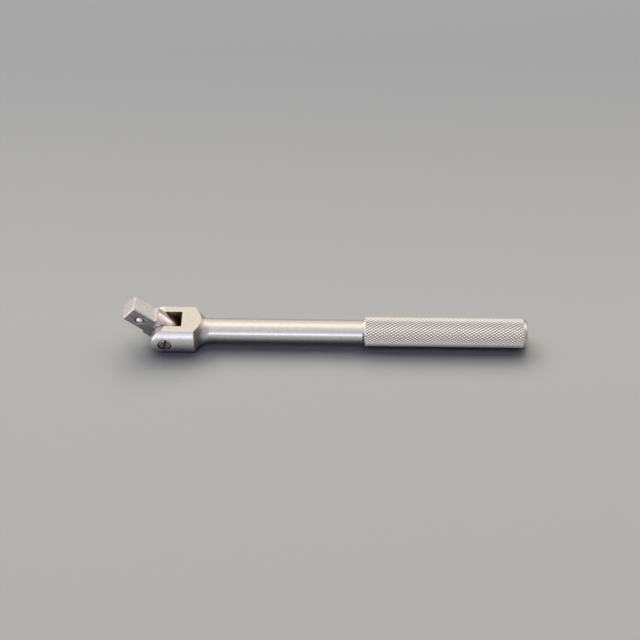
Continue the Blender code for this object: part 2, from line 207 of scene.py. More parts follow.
class SpinnerScrewSettings(bpy.types.PropertyGroup):
    """Slotted pivot screw with its bores, detent ball and springs."""

    head_diameter: length("Head diameter", "Slotted head of the pivot screw", 8.1)
    head_length: length("Head length", "From the head's face to its seat", 3.4)
    head_sink: length("Head sink", "How deep the head lies below the round side", 0.8)
    head_chamfer: length("Head chamfer", "Worn chamfer round the head's face", 0.8)
    slot_width: length("Slot width", "Screwdriver slot", 1.1)
    slot_depth: length("Slot depth", "Screwdriver slot", 1.3)
    slot_turn: angle("Slot turn", "Lean of the screwdriver slot", 16)
    pin_diameter: length("Pin diameter", "Plain part of the screw, on which the head turns", 7.0)
    pin_reach: length("Pin reach", "How far the pin runs into the far cheek", 1.5)
    thread_diameter: length("Thread diameter", "Thread end, drawn plain", 6.0)
    thread_recess: length("Thread recess", "From the thread's end to the far round side", 0.6)
    head_bore: length("Head bore", "Bore of the near cheek for the screw's head", 9.2)
    pin_bore: length("Pin bore", "Bore of both cheeks for the pin", 7.6)
    thread_bore: length("Thread bore", "Bore of the far cheek for the thread end", 6.6)
    bore_gap: length("Bore gap", "Clearance under the head and at the pin's end", 0.3)
    steel: colour("Steel", "Darkened steel of the screw", "7C797E")
    ball_diameter: length("Ball diameter", "Detent ball", 5.0)
    ball: colour("Ball", "Polished steel of the two balls", "F6F6F8")
    detent_wire: length("Detent wire", "Wire of the spring behind the detent ball", 0.6)
    detent_coil: length("Detent coil", "Coil of that spring, to the middle of its wire", 4.0)
    detent_turns: count("Detent turns", "Turns of that spring", 5)
    friction_wire: length("Friction wire", "Wire of the spring behind the friction ball", 0.8)
    friction_coil: length("Friction coil", "Coil of that spring, to the middle of its wire", 4.4)
    friction_turns: count("Friction turns", "Turns of that spring", 6)
    wire: colour("Wire", "Drawn steel of the two springs", "ADADB0")


class SpinnerStageSettings(bpy.types.PropertyGroup):
    """Floor, lamps and camera."""

    floor: colour("Floor", "Matt grey floor", "B8B7B5")
    box_distance: length("Box distance", "From the part to each soft box", 6000)
    mirrored_level: level("Mirrored level", "Factor on what the metal mirrors")
    box_level: level("Box level", "Factor on the soft boxes")


# Soft patches of the studio that the metal mirrors: azimuth from +Y towards +X and elevation in degrees,
# focus, radiance at the centre, and tint. The higher the focus, the narrower the patch.
MIRRORED = (
    (-90, 30, 12, 1.15, "FEF5FF"),
    (-45, 25, 12, 0.79, "FFF0D5"),
    (0, 20, 12, 0.62, "FFFFF6"),
    (45, 25, 12, 0.79, "FFF9F0"),
    (90, 30, 12, 0.71, "FFF0DE"),
    (135, 30, 12, 0.39, "FFE9DA"),
    (-135, 30, 12, 0.83, "FFE1CD"),
    (-60, 56, 12, 1.49, "F1FCFF"),
    (0, 50, 12, 0.56, "FFDBB2"),
    (60, 56, 12, 1.11, "FFF7E9"),
    (180, 56, 12, 0.64, "FFF5EE"),
    (0, 88, 12, 0.92, "FFF5DE"),
    (-135, 8, 12, 1.63, "FDF7FF"),
    (135, 8, 12, 0.34, "F4F2FF"),
    (180, 34, 30, 0.22, "CBF9FF"),
    (-65, 5, 30, 0.57, "FFEEDD"),
    (75, 8, 30, 0.70, "FFF2EE"),
    (180, 1, 24, 1.80, "EEF0FF"),
    (180, 12, 40, 0.60, "FBFCFF"),
    (-48, 12, 18, 0.90, "FFFDFC"),
    (60, 8, 60, 1.03, "FDFAFF"),
    (-118, 4, 120, 1.30, "FFFFFF"),
    (-94, 4, 60, 0.50, "FFF2F6"),
)

# Soft boxes that light the floor: azimuth and elevation in degrees, width and height in metres, radiance and
# tint. They all face one point on the floor.
BOXES = {
    "left_box": (-62, 45, 2.40, 2.80, 2.78, "EBF0FF"),
    "back_box": (-15, 45, 5.40, 2.80, 5.36, "FFFEF1"),
    "right_back_box": (32, 45, 2.40, 2.80, 2.01, "FFFCDE"),
    "right_box": (62, 45, 2.40, 2.80, 1.61, "FFF4E2"),
    "low_right_box": (60, 24, 2.40, 1.40, 0.76, "FFF6DD"),
    "top_box": (0, 74, 2.80, 2.80, 2.95, "F8FBFF"),
    "front_box": (180, 70, 3.20, 2.00, 1.95, "C5CDFF"),
}
BOX_TARGET = Vector((0.09, 0, 0))

# The camera as fitted to the photograph: angles in degrees, lens and sensor in millimetres, distance in
# metres, and the point in the middle of its view, counted from the pivot.
CAMERA = {
    "elevation": 45.81, "azimuth": -0.87, "roll": 0.06, "lens": 90.34, "sensor": 36, "distance": 1.06984,
}
CAMERA_TARGET = Vector((0.1033, 0, 0.01058))


# Meshes from arrays


def grid_quads(rows, columns, closed):
    """Corner numbers of the quads of a grid of points, row by row.

    A closed grid joins its last column to its first.
    """
    row = np.arange(rows - 1)[:, None] * columns
    column = np.arange(columns if closed else columns - 1)[None, :]
    after = (column + 1) % columns
    corners = (row + column, row + after, row + columns + after, row + columns + column)
    return np.stack(np.broadcast_arrays(*corners), -1).reshape(-1, 4)


def mesh_piece(name, points, faces, merge=None):
    """A mesh object of points and faces.

    Given a merging distance, doubles are merged, faces without area dropped and normals turned outwards.
    """
    mesh = bpy.data.meshes.new(name)
    mesh.vertices.add(len(points))
    mesh.vertices.foreach_set("co", points.astype(np.float32).ravel())
    mesh.loops.add(faces.size)
    mesh.loops.foreach_set("vertex_index", faces.astype(np.int32).ravel())
    mesh.polygons.add(len(faces))
    mesh.polygons.foreach_set("loop_start", np.arange(0, faces.size, faces.shape[1], dtype=np.int32))
    mesh.update(calc_edges=True)
    if merge:
        shape = bmesh.new()
        shape.from_mesh(mesh)
        bmesh.ops.remove_doubles(shape, verts=shape.verts, dist=merge)
        bmesh.ops.dissolve_degenerate(shape, edges=shape.edges, dist=merge)
        bmesh.ops.recalc_face_normals(shape, faces=shape.faces)
        shape.to_mesh(mesh)
        shape.free()
    mesh.shade_smooth()
    obj = bpy.data.objects.new(name, mesh)
    bpy.context.scene.collection.objects.link(obj)
    return obj


def shell(name, *sheets):
    """One mesh object from grids of points, whose coincident border points are merged.

    A sheet is an array of rows by columns by 3, and whether its last column joins its first.
    """
    faces, total = [], 0
    for points, closed in sheets:
        rows, columns = points.shape[:2]
        faces.append(grid_quads(rows, columns, closed) + total)
        total += rows * columns
    points = np.concatenate([points.reshape(-1, 3) for points, closed in sheets])
    return mesh_piece(name, points, np.concatenate(faces), merge=0.5e-6)


def lifted(points, height):
    """Points of a plane with a third coordinate, which is one number or a column of them."""
    return np.concatenate([points, np.broadcast_to(height, (*points.shape[:-1], 1))], -1)


def turned(name, profile, steps=64):
    """A turned piece: each (radius, height) of the profile is carried round the Z axis in even steps."""
    radius, height = np.array(profile, float).T[..., None]
    turn = np.linspace(0, math.tau, steps, endpoint=False)
    points = np.stack(np.broadcast_arrays(radius * np.cos(turn), radius * np.sin(turn), height), -1)
    return shell(name, (points, True))


def arc(centre, radius, start, end, steps):
    """Points on a circle from one angle to another, in degrees, ends included."""
    turn = np.radians(np.linspace(start, end, steps + 1))
    return np.stack([centre[0] + radius * np.cos(turn), centre[1] + radius * np.sin(turn)], -1)


def apply_modifiers(obj):
    """Makes the evaluated mesh the object's own."""
    bpy.context.view_layer.update()
    graph = bpy.context.evaluated_depsgraph_get()
    evaluated = obj.evaluated_get(graph)
    mesh = bpy.data.meshes.new_from_object(evaluated, preserve_all_data_layers=True, depsgraph=graph)
    mesh.name = obj.name
    obj.modifiers.clear()
    obj.data = mesh


def cut(obj, cutter):
    """Takes the cutter's shape out of the piece and removes the cutter."""
    modifier = obj.modifiers.new("Cut", "BOOLEAN")
    modifier.operation = "DIFFERENCE"
    modifier.solver = "EXACT"
    modifier.object = cutter
    apply_modifiers(obj)
    bpy.data.objects.remove(cutter, do_unlink=True)


def soften(obj, weights, width, segments=3):
    """Rounds edges up to the given width, each by its weight: weights(edge middles, face angles)."""
    mesh = obj.data
    ends = np.zeros(len(mesh.edges) * 2, np.int32)
    mesh.edges.foreach_get("vertices", ends)
    points = np.zeros(len(mesh.vertices) * 3, np.float32)
    mesh.vertices.foreach_get("co", points)
    middles = points.reshape(-1, 3)[ends.reshape(-1, 2)].mean(1)
    shape = bmesh.new()
    shape.from_mesh(mesh)
    bends = np.array([edge.calc_face_angle(0) for edge in shape.edges])
    shape.free()
    layer = mesh.attributes.new("bevel_weight_edge", "FLOAT", "EDGE")
    layer.data.foreach_set("value", weights(middles, bends).astype(np.float32))
    bevel = obj.modifiers.new("Round edges", "BEVEL")
    bevel.limit_method = "WEIGHT"
    bevel.width = width
    bevel.segments = segments
    bevel.use_clamp_overlap = True
    apply_modifiers(obj)


def smooth_by_angle(obj, degrees, flats=True):
    """Smooth faces, with the edges sharper than the given angle left sharp, and large faces kept flat."""
    obj.data.shade_smooth()
    obj.data.set_sharp_from_angle(angle=math.radians(degrees))
    if flats:
        weighted = obj.modifiers.new("Keep flats flat", "WEIGHTED_NORMAL")
        weighted.keep_sharp = True
        weighted.weight = 50


def dress(obj, material, body, node):
    """Gives a finished piece its material and its body, and hides the CAD node that it stands for."""
    obj.data.materials.clear()
    obj.data.materials.append(material)
    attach(obj, body)
    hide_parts(node)


# Materials

# Options of a Mix node that blends two colours, its inputs 6 and 7.
COLOURS = {"out": 2, "data_type": "RGBA"}


def feed(owner, node, sockets):
    """Sets sockets of a node, by number or name: another node's output is linked, the rest are constants."""
    for key, value in sockets.items():
        socket = node.inputs[key]
        if isinstance(value, bpy.types.NodeSocket):
            owner.node_tree.links.new(value, socket)
        elif socket.type == "RGBA":
            socket.default_value = (*value[:3], 1)
        else:
            socket.default_value = value


def add(owner, kind, *inputs, at=None, out=0, **options):
    """Adds a node to a material or the world and gives back one of its outputs.

    The inputs fill its first sockets in order, `at` holds those for other sockets by number or name, and the
    options are the node's own.
    """
    node = owner.node_tree.nodes.new("ShaderNode" + kind)
    for key, value in options.items():
        setattr(node, key, value)
    feed(owner, node, {**dict(enumerate(inputs)), **(at or {})})
    return node.outputs[out]


def blank(name):
    """A new material and its surface shader."""
    material = bpy.data.materials.new(name)
    material.use_nodes = True
    return material, material.node_tree.nodes["Principled BSDF"]


def scaled(tone, factor):
    """A lighter or darker tone of a colour."""
    return [min(1.0, channel * factor) for channel in tone]


def satin_chrome(bar, screw):
    """Satin chrome over blasted and turned steel: a soft, even gleam with a fine grain and faint clouding.

    Painted shade darkens the slot and the bores, and the cone, whose normal leans towards +X.
    """
    material, shader = blank("satin_chrome_over_blasted_steel")
    place = add(material, "TexCoord", out="Object")
    normal = add(material, "TexCoord", out="Normal")
    # A blast grain of about 0.12 mm, drawn at 0.3 mm so that it shows in the picture.
    grain = add(material, "TexNoise", place, at={"Scale": 1 / (0.3 * MM), "Detail": 3.0})
    cloud = add(material, "TexNoise", place, at={"Scale": 1 / (2.5 * MM), "Detail": 4.0})
    tone = add(material, "MapRange", cloud, 0.35, 0.65)
    base = add(material, "Mix", tone, at={6: scaled(bar.plate, 0.94), 7: bar.plate}, **COLOURS)
    # Painted shade on the cone, where the normal leans towards +X.
    leaning = add(material, "SeparateXYZ", normal, out="X")
    cone_shade = add(material, "MapRange", leaning, 0.35, 0.74)
    base = add(material, "Mix", cone_shade, at={6: base, 7: bar.cone}, **COLOURS)
    # The painted shade in the slot and the bores reaches a hair past the walls that it ends on.
    hair = 0.05 * MM
    aside = add(material, "Math", add(material, "SeparateXYZ", place, out="Y"), operation="ABSOLUTE")
    between = add(material, "Math", aside, bar.slot_width / 2 + hair, operation="LESS_THAN")
    along = add(material, "SeparateXYZ", place, out="X")
    before = add(material, "Math", along, PIVOT.x + bar.slot_floor + hair, operation="LESS_THAN")
    slot = add(material, "Math", between, before, operation="MULTIPLY")
    flat = add(material, "VectorMath", place, (1, 0, 1), operation="MULTIPLY")
    away = add(material, "VectorMath", flat, PIVOT, out="Value", operation="DISTANCE")
    bore = add(material, "Math", away, screw.head_bore / 2 + 0.02 * MM, operation="LESS_THAN")
    dull = add(material, "Math", slot, bore, operation="MAXIMUM")
    base = add(material, "Mix", dull, at={6: base, 7: bar.inside}, **COLOURS)
    rough = add(material, "MapRange", grain, 0.3, 0.7, 0.24, 0.33)
    bump = add(material, "Bump", at={"Strength": 0.12, "Distance": 0.02 * MM, "Height": grain})
    feed(material, shader, {"Metallic": 1.0, "Base Color": base, "Roughness": rough, "Normal": bump})
    return material


def knurled_chrome(grip):
    """Satin chrome over a rolled knurl: bright worn crests, painted shade at the bottom of the grooves, a
    smooth turned end.
    """
    material, shader = blank("satin_chrome_over_rolled_knurl")
    depth = add(material, "Attribute", attribute_name="groove", out="Fac")
    end = add(material, "Attribute", attribute_name="cap", out="Fac")
    place = add(material, "TexCoord", out="Object")
    # The same blast grain as on the bar.
    grain = add(material, "TexNoise", place, at={"Scale": 1 / (0.3 * MM), "Detail": 3.0})
    # Painted shade: the deeper a point lies in a groove, the more of the dark groove colour.
    sunk = add(material, "MapRange", depth, 0.25, 1.0)
    base = add(material, "Mix", sunk, at={6: grip.crest, 7: grip.groove}, **COLOURS)
    base = add(material, "Mix", end, at={6: base, 7: grip.cap}, **COLOURS)
    rough = add(material, "MapRange", depth, 0.0, 1.0, 0.22, 0.42)
    smoother = add(material, "Math", end, 0.1, operation="MULTIPLY")
    rough = add(material, "Math", rough, smoother, operation="SUBTRACT")
    bump = add(material, "Bump", at={"Strength": 0.1, "Distance": 0.02 * MM, "Height": grain})
    feed(material, shader, {"Metallic": 1.0, "Base Color": base, "Roughness": rough, "Normal": bump})
    return material


def milled_chrome(head):
    """Chrome over milled faces: fine cutter lines along the head, with a mottled satin gleam between them.

    The two flanks, whose normals lie along Y, carry painted shade, streaked by the cutter lines. A ring of
    painted shade circles the detent ball on the near one, and the sawn end of the square is rougher.
    """
    material, shader = blank("satin_chrome_over_milled_steel")
    place = add(material, "TexCoord", out="Object")
    normal = add(material, "TexCoord", out="Normal")
    along = add(material, "Mapping", place, at={"Rotation": (0, -head.tilt, 0)})
    # Cutter lines about 0.25 mm apart and 8 mm long, drawn at 0.5 mm so that they show in the picture.
    fine = 1 / (0.5 * MM)
    lines = add(material, "Mapping", along, at={"Scale": (1 / (8 * MM), fine, fine)})
    marks = add(material, "TexNoise", lines, at={"Scale": 1.0, "Detail": 4.0})
    mottle = add(material, "TexNoise", place, at={"Scale": 1 / (1.6 * MM), "Detail": 4.0})
    tone = add(material, "MapRange", mottle, 0.35, 0.65)
    base = add(material, "Mix", tone, at={6: scaled(head.plate, 0.85), 7: head.plate}, **COLOURS)
    lined = add(material, "MapRange", marks, 0.35, 0.65)
    # Painted shade on the flanks, streaked by the cutter lines.
    flank_shade_lines = add(material, "Mix", lined, at={6: scaled(head.flank_shade, 0.5), 7: scaled(head.flank_shade, 1.4)}, **COLOURS)
    aside = add(material, "Math", add(material, "SeparateXYZ", normal, out="Y"), operation="ABSOLUTE")
    flank_shade = add(material, "MapRange", aside, 0.85, 0.97)
    base = add(material, "Mix", flank_shade, at={6: base, 7: flank_shade_lines}, **COLOURS)
    # A ring of painted shade round the detent ball, on the near side.
    low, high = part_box("detent_ball")
    ball = Vector((low + high) / 2)
    flat = add(material, "VectorMath", place, (1, 0, 1), operation="MULTIPLY")
    away = add(material, "VectorMath", flat, (ball.x, 0, ball.z), out="Value", operation="DISTANCE")
    ring = add(material, "MapRange", away, 3.25 * MM, 3.0 * MM)
    near = add(material, "Math", add(material, "SeparateXYZ", place, out="Y"), 0.0, operation="LESS_THAN")
    grime = add(material, "Math", ring, near, operation="MULTIPLY")
    base = add(material, "Mix", grime, at={6: base, 7: head.grime}, **COLOURS)
    rough = add(material, "MapRange", marks, 0.3, 0.7, 0.16, 0.28)
    drive = (-math.cos(head.tilt), 0, math.sin(head.tilt))
    facing = add(material, "VectorMath", normal, drive, out="Value", operation="DOT_PRODUCT")
    sawn = add(material, "MapRange", facing, 0.9, 0.99, 0.0, 0.25)
    rough = add(material, "Math", rough, sawn, operation="ADD")
    bump = add(material, "Bump", at={"Strength": 0.2, "Distance": 0.02 * MM, "Height": marks})
    feed(material, shader, {"Metallic": 1.0, "Base Color": base, "Roughness": rough, "Normal": bump})
    return material


def oxide_steel(screw, face):
    """Black-oxide steel, turned and handled: dark, with pale rubbed patches and a painted highlight round the
    rim of the head.

    The slot and the shaft, which lie deeper than the head's chamfer, carry painted shade.
    """
    material, shader = blank("black_oxide_turned_steel")
    pale = scaled(screw.steel, 2.6)
    place = add(material, "TexCoord", out="Object")
    patches = add(material, "TexNoise", place, at={"Scale": 1 / (1.2 * MM), "Detail": 5.0})
    rubbed = add(material, "MapRange", patches, 0.45, 0.7)
    base = add(material, "Mix", rubbed, at={6: screw.steel, 7: pale}, **COLOURS)
    # Painted highlight round the rim of the head.
    flat = add(material, "VectorMath", place, (1, 0, 1), operation="MULTIPLY")
    away = add(material, "VectorMath", flat, PIVOT, out="Value", operation="DISTANCE")
    rim = add(material, "MapRange", away, 2.9 * MM, 3.3 * MM)
    base = add(material, "Mix", rim, at={6: base, 7: pale}, **COLOURS)
    # Painted shade in the slot and on the shaft, deeper than the head's chamfer.
    along = add(material, "SeparateXYZ", place, out="Y")
    deep = add(material, "Math", along, face + 0.75 * MM, operation="GREATER_THAN")
    base = add(material, "Mix", deep, at={6: base, 7: scaled(screw.steel, 0.3)}, **COLOURS)
    rough = add(material, "MapRange", patches, 0.3, 0.7, 0.5, 0.3)
    bump = add(material, "Bump", at={"Strength": 0.3, "Distance": 0.05 * MM, "Height": patches})
    feed(material, shader, {"Metallic": 1.0, "Base Color": base, "Roughness": rough, "Normal": bump})
    return material


def bearing_steel(screw):
    """Ground and polished bearing steel: a clean gleam with a soft haze and hardly any grain."""
    material, shader = blank("ground_bearing_steel")
    place = add(material, "TexCoord", out="Object")
    haze = add(material, "TexNoise", place, at={"Scale": 1 / (1.5 * MM), "Detail": 2.0})
    rough = add(material, "MapRange", haze, 0.3, 0.7, 0.24, 0.34)
    feed(material, shader, {"Metallic": 1.0, "Base Color": screw.ball, "Roughness": rough})
    return material


def spring_wire(screw):
    """Drawn spring wire: grey, with fine drawing lines."""
    material, shader = blank("drawn_spring_wire")
    place = add(material, "TexCoord", out="Object")
    lines = add(material, "TexNoise", place, at={"Scale": 1 / (0.3 * MM), "Detail": 2.0})
    rough = add(material, "MapRange", lines, 0.3, 0.7, 0.28, 0.42)
    feed(material, shader, {"Metallic": 1.0, "Base Color": screw.wire, "Roughness": rough})
    return material


def matt_floor(stage):
    """Matt grey card: even, with a very faint grain, and painted shade that makes it a little darker and
    cooler towards the back.
    """
    material, shader = blank("matt_grey_card")
    place = add(material, "TexCoord", out="Object")
    grain = add(material, "TexNoise", place, at={"Scale": 1 / (3 * MM), "Detail": 2.0})
    dark, light = scaled(stage.floor, 0.98), scaled(stage.floor, 1.02)
    base = add(material, "Mix", grain, at={6: dark, 7: light}, **COLOURS)
    # Painted shade from 20 to 320 mm behind the bar.
    back = add(material, "MapRange", add(material, "SeparateXYZ", place, out="Y"), 20 * MM, 320 * MM)
    back_shade = [channel * factor for channel, factor in zip(stage.floor, (0.74, 0.75, 0.81))]
    base = add(material, "Mix", back, at={6: base, 7: back_shade}, **COLOURS)
    feed(material, shader, {"Metallic": 0.0, "Base Color": base, "Roughness": 0.9})
    return material


# Shapes


def bar_profile(bar):
    """The turned outline of cone and neck as fine (x, radius) points, and where the shank starts.

    It is the cone's straight line, and then an arc that is tangent to the cone and to the shank.
    """
    slope = bar.cone_slope
    fork, shank = bar.fork_diameter / 2, bar.shank_diameter / 2
    cone_end = bar.fork_length + (fork - shank) / math.tan(slope)
    tangent = bar.neck_fillet * math.tan(slope / 2)
    neck_end = cone_end + tangent
    start = (cone_end - tangent * math.cos(slope), shank + tangent * math.sin(slope))
    line = np.linspace((bar.fork_length, fork), start, 60)[:-1]
    neck = arc((neck_end, shank + bar.neck_fillet), bar.neck_fillet, 270 - math.degrees(slope), 270, 60)
    return np.concatenate([line, neck]), neck_end


def screw_places(bar, screw):
    """Where along Y the screw's head face, head seat, pin end and thread end lie."""
    radius, slot = bar.fork_diameter / 2, bar.slot_width / 2
    face = screw.head_sink - radius
    return face, face + screw.head_length, slot + screw.pin_reach, radius - screw.thread_recess


def make_fork_and_shank(bar, grip, screw):
    """Fork and shank in one shell of grids.

    The ring at the slot's floor runs up the near round side, over the upper flat, down the far side and back
    along the lower flat. Each of its points is carried along the bar at its own angle round the axis: level
    along the side or flat, then down the turned outline from where that outline has the point's radius, then
    along the shank, which is closed inside the grip.
    Each cheek is a fan of points from its bore to its outline, which is the slot's floor line, the flats and
    the round end; the outer points lie on the fork's cylinder, where y is the root of radius squared less z
    squared. The outer edge of the round end is turned off by a quarter circle, whose radius falls to nothing
    towards the flats.
    """
    side_steps, flat_steps, slot_steps, cheek_steps, end_steps = 32, 5, 16, 12, 48
    radius, flat, slot = bar.fork_diameter / 2, bar.flat_span / 2, bar.slot_width / 2
    floor, shank = bar.slot_floor, bar.shank_diameter / 2

    levels = np.linspace(-flat, flat, side_steps + 1)
    edge = np.linspace(math.sqrt(radius**2 - flat**2), slot, flat_steps + 1)
    across = np.linspace(slot, -slot, slot_steps + 1)
    top = np.concatenate([-edge[:-1], -across[:-1], edge[::-1]])
    near = np.stack([-np.sqrt(radius**2 - levels**2), levels], -1)
    over = np.stack([top, np.full(len(top), flat)], -1)
    half = np.concatenate([near[:-1], over[:-1]])
    ring = np.concatenate([half, -half])
    turn = np.arctan2(ring[:, 1], ring[:, 0])
    reach = np.hypot(ring[:, 0], ring[:, 1])

    profile, neck_end = bar_profile(bar)
    steps = np.concatenate([[0], np.cumsum(np.hypot(*np.diff(profile, axis=0).T))])
    crease = np.interp(-reach, -profile[:, 1], steps)
    crease_x = np.interp(crease, steps, profile[:, 0])
    down = crease + np.linspace(0, 1, 33)[1:, None] * (steps[-1] - crease)
    end = grip.start - (grip.diameter / 2 - shank)
    shank_ring = np.full(len(ring), shank)
    parts = (
        (floor + np.linspace(0, 1, 7)[:, None] * (crease_x - floor), reach),
        (np.interp(down, steps, profile[:, 0]), np.interp(down, steps, profile[:, 1])),
        (np.linspace(neck_end, end, 15)[1:, None], shank_ring),
        (end, np.array([[0.6], [0.2], [0.0]]) * shank_ring),
    )
    x, r = (np.concatenate(rows) for rows in zip(*(np.broadcast_arrays(*part) for part in parts)))
    sheets = [(np.stack([x, r * np.cos(turn), r * np.sin(turn)], -1), True)]

    outline = np.concatenate(
        [
            np.stack([np.full(side_steps, floor), levels[:-1]], -1),
            np.linspace((floor, flat), (bar.end_shift, flat), cheek_steps + 1)[:-1],
            arc((bar.end_shift, 0), flat, 90, 270, end_steps)[:-1],
            np.linspace((bar.end_shift, -flat), (floor, -flat), cheek_steps + 1)[:-1],
        ]
    )
    fan = np.arctan2(outline[:, 1], outline[:, 0])
    spoke = np.stack([np.cos(fan), np.sin(fan)], -1)
    open_part = np.arange(side_steps, len(outline) + 1) % len(outline)
    on_end = outline[:, 0] < bar.end_shift - 1e-6
    outward = (outline - (bar.end_shift, 0)) / flat * on_end[:, None]
    # The rounding reaches its full radius over the last third of the way from a flat to the middle.
    lean = np.clip((flat - np.abs(outline[:, 1])) / (0.35 * flat), 0, 1)
    rounding = (bar.end_round * lean * lean * (3 - 2 * lean) * on_end)[:, None]
    pin_rim = spoke * screw.pin_bore / 2
    _, seat, pin_end, _ = screw_places(bar, screw)
    cheeks = ((-1, screw.head_bore, seat), (1, screw.thread_bore, pin_end))
    for side, mouth, step in cheeks:
        mouth_rim = spoke * mouth / 2
        face = [mouth_rim + t * (outline - rounding * outward - mouth_rim) for t in np.linspace(0, 1, 6)]
        outer = [lifted(rim, side * np.sqrt(radius**2 - rim[:, 1:] ** 2)) for rim in face]
        for bend in np.linspace(0, math.pi / 2, 8)[1:]:
            rim = outline - rounding * outward * (1 - math.sin(bend))
            height = np.sqrt(radius**2 - rim[:, 1:] ** 2) - rounding * (1 - math.cos(bend))
            outer.append(lifted(rim, side * height))
        wall = [lifted(rim, side * slot) for rim in (outline, (outline + pin_rim) / 2, pin_rim)]
        step += screw.bore_gap
        bore = [wall[-1], lifted(pin_rim, step), lifted(mouth_rim, step), outer[0]]
        strip = outer[-1] + np.linspace(0, 1, flat_steps + 1)[:, None, None] * (wall[0] - outer[-1])
        for sheet, closed in ((outer, True), (wall, True), (bore, True), (strip[:, open_part], False)):
            sheets.append((np.stack(sheet)[..., [0, 2, 1]], closed))

    floor_grid = np.stack(np.meshgrid(levels, -across, indexing="ij"), -1)
    sheets.append((lifted(floor_grid, floor)[..., ::-1], False))
    piece = shell("fork_and_shank", *sheets)

    def weights(middles, bends):
        """Full weight on the edge between round sides and cone, and a small one on the other sharp edges.

        The tolerances cover the chords of the grids. The slot's floor line and what the grip covers stay.
        """
        x, y, z = middles.T
        small = bar.edge_break / bar.cone_break
        bore_edge = np.hypot(x, z) < 6 * MM
        on_side = np.abs(np.hypot(y, z) - radius) < 0.2 * MM
        cone_edge = on_side & (np.abs(x - bar.fork_length) < 0.3 * MM)
        floor_line = (np.abs(y) < slot + 0.1 * MM) & (np.abs(z) < flat - MM) & (x > floor - MM)
        left = (bends <= math.radians(25)) | floor_line | (x > end - MM)
        return np.select([left, bore_edge, cone_edge], [0.0, small * 0.5, 1.0], small)

    soften(piece, weights, bar.cone_break)
    piece.data.transform(Matrix.Translation(PIVOT))
    smooth_by_angle(piece, 35)
    return piece


def make_grip(bar, grip):
    """Knurled grip on a slanting grid, whose two sets of mesh lines are the knurl's own two directions.

    A point of the grid has a phase in each set, counted in ridges from a groove. Turn and advance follow from
    the two phases: the first is ridges times turn plus advance over pitch, and the second ridges times turn
    less advance over pitch. The groove depth falls evenly from 1 at a groove's bottom to 0 at the edge of the
    crest, and a point lies as deep as the deeper of its two. The cone at the shank and the rounding of the
    free end, a quarter of an ellipse, bound the radius. Rings drawn in from the two rims close the ends, the
    free one as a shallow part of a sphere.
    """
    radius, shank = grip.diameter / 2, bar.shank_diameter / 2
    start = grip.start - (radius - shank)
    face = radius - grip.end_drop
    end = grip.start + grip.grip_length + grip.end_rounding
    fineness = 5  # grid points to a ridge
    first, second = grip.first_ridges * fineness, grip.second_ridges * fineness
    around = math.tau * radius
    first_pitch = around / first / math.tan(grip.first_slant)
    second_pitch = around / second / math.tan(grip.second_slant)
    advance = 1 / (first * first_pitch) + 1 / (second * second_pitch)
    rows = math.ceil((end - start) * advance * second) + 4

    column = np.arange(first)[:, None]
    shift = (np.arange(first + 1) * second) // first
    i = column + np.zeros((1, rows), int)
    j = shift[:-1, None] + 2 - np.arange(rows)[None, :]
    x = start + (i / first - j / second) / advance
    turn = math.tau * (i / first - (x - start) / (first * first_pitch))
    phases = np.stack([i / fineness, j / fineness]) % 1
    sunk = np.clip(1 - np.minimum(phases, 1 - phases) / (grip.groove_share / 2), 0, 1)
    sunk = (sunk * np.array([1, grip.second_depth])[:, None, None]).max(0)
    x = np.clip(x, start, end)
    bend = np.clip((x - grip.start - grip.grip_length) / grip.end_rounding, 0, 1)
    cap = face + (grip.end_drop - grip.depth) * np.sqrt(1 - bend**2)
    bound = np.minimum(shank + (x - start), np.where(bend > 0, cap, radius))
    knurled = radius - grip.depth * sunk
    r = np.minimum(knurled, bound)
    smooth = bound < knurled
    points = np.stack([x, r * np.cos(turn), r * np.sin(turn)], -1).reshape(-1, 3)

    after = (column + 1) % first
    step = (shift[1:] - shift[:-1])[:, None]
    row = np.arange(2, rows)[None, :]
    near, far = column * rows, after * rows
    faces = np.stack([near + row, far + row + step, far + row + step - 1, near + row - 1], -1)
    faces = faces[np.broadcast_to(row + step < rows, faces.shape[:2])]
    faces = faces[np.ptp(points[faces][..., 0], axis=1) > 1e-7]
    # The start cone takes nearly half of the turned end's look.
    looks = np.stack([np.where(smooth, 0, sunk), np.where(bend > 0, 1.0, smooth * 0.45)]).reshape(2, -1)

    # The rims are the points of the edges that only one face uses, in order round the axis.
    edges = np.sort(np.stack([faces, np.roll(faces, -1, axis=1)], -1).reshape(-1, 2), axis=1)
    edges, uses = np.unique(edges, axis=0, return_counts=True)
    rims = np.unique(edges[uses == 1])
    turn = turn.ravel()
    rims = rims[np.argsort(turn[rims] % math.tau)]
    at_end = points[rims, 0] > grip.start
    inward = np.array([[0.97], [0.85], [0.6], [0.3], [0]])
    sphere = (face**2 + grip.end_crown**2) / (2 * grip.end_crown)
    crown = end + grip.end_crown - sphere + np.sqrt(sphere**2 - (face * inward) ** 2)
    for rim, width, place in ((rims[~at_end], shank, start), (rims[at_end], face, crown)):
        r = width * inward
        rings = np.broadcast_arrays(place, r * np.cos(turn[rim]), r * np.sin(turn[rim]))
        numbers = np.concatenate([rim, len(points) + np.arange(rings[0].size)])
        faces = np.concatenate([faces, numbers[grid_quads(len(inward) + 1, len(rim), True)]])
        points = np.concatenate([points, np.stack(rings, -1).reshape(-1, 3)])
        looks = np.concatenate([looks, np.tile(looks[:, rim], len(inward))], 1)

    used, faces = np.unique(faces, return_inverse=True)
    piece = mesh_piece("knurled_grip", points[used], faces.reshape(-1, 4))
    for name, values in zip(("groove", "cap"), looks[:, used].astype(np.float32)):
        layer = piece.data.attributes.new(name, "FLOAT", "POINT")
        layer.data.foreach_set("value", values)
    shape = bmesh.new()
    shape.from_mesh(piece.data)
    bmesh.ops.remove_doubles(shape, verts=shape.verts, dist=0.5e-6)
    bmesh.ops.recalc_face_normals(shape, faces=shape.faces)
    shape.to_mesh(piece.data)
    shape.free()
    piece.data.transform(Matrix.Translation(PIVOT))
    smooth_by_angle(piece, 28, flats=False)
    return piece


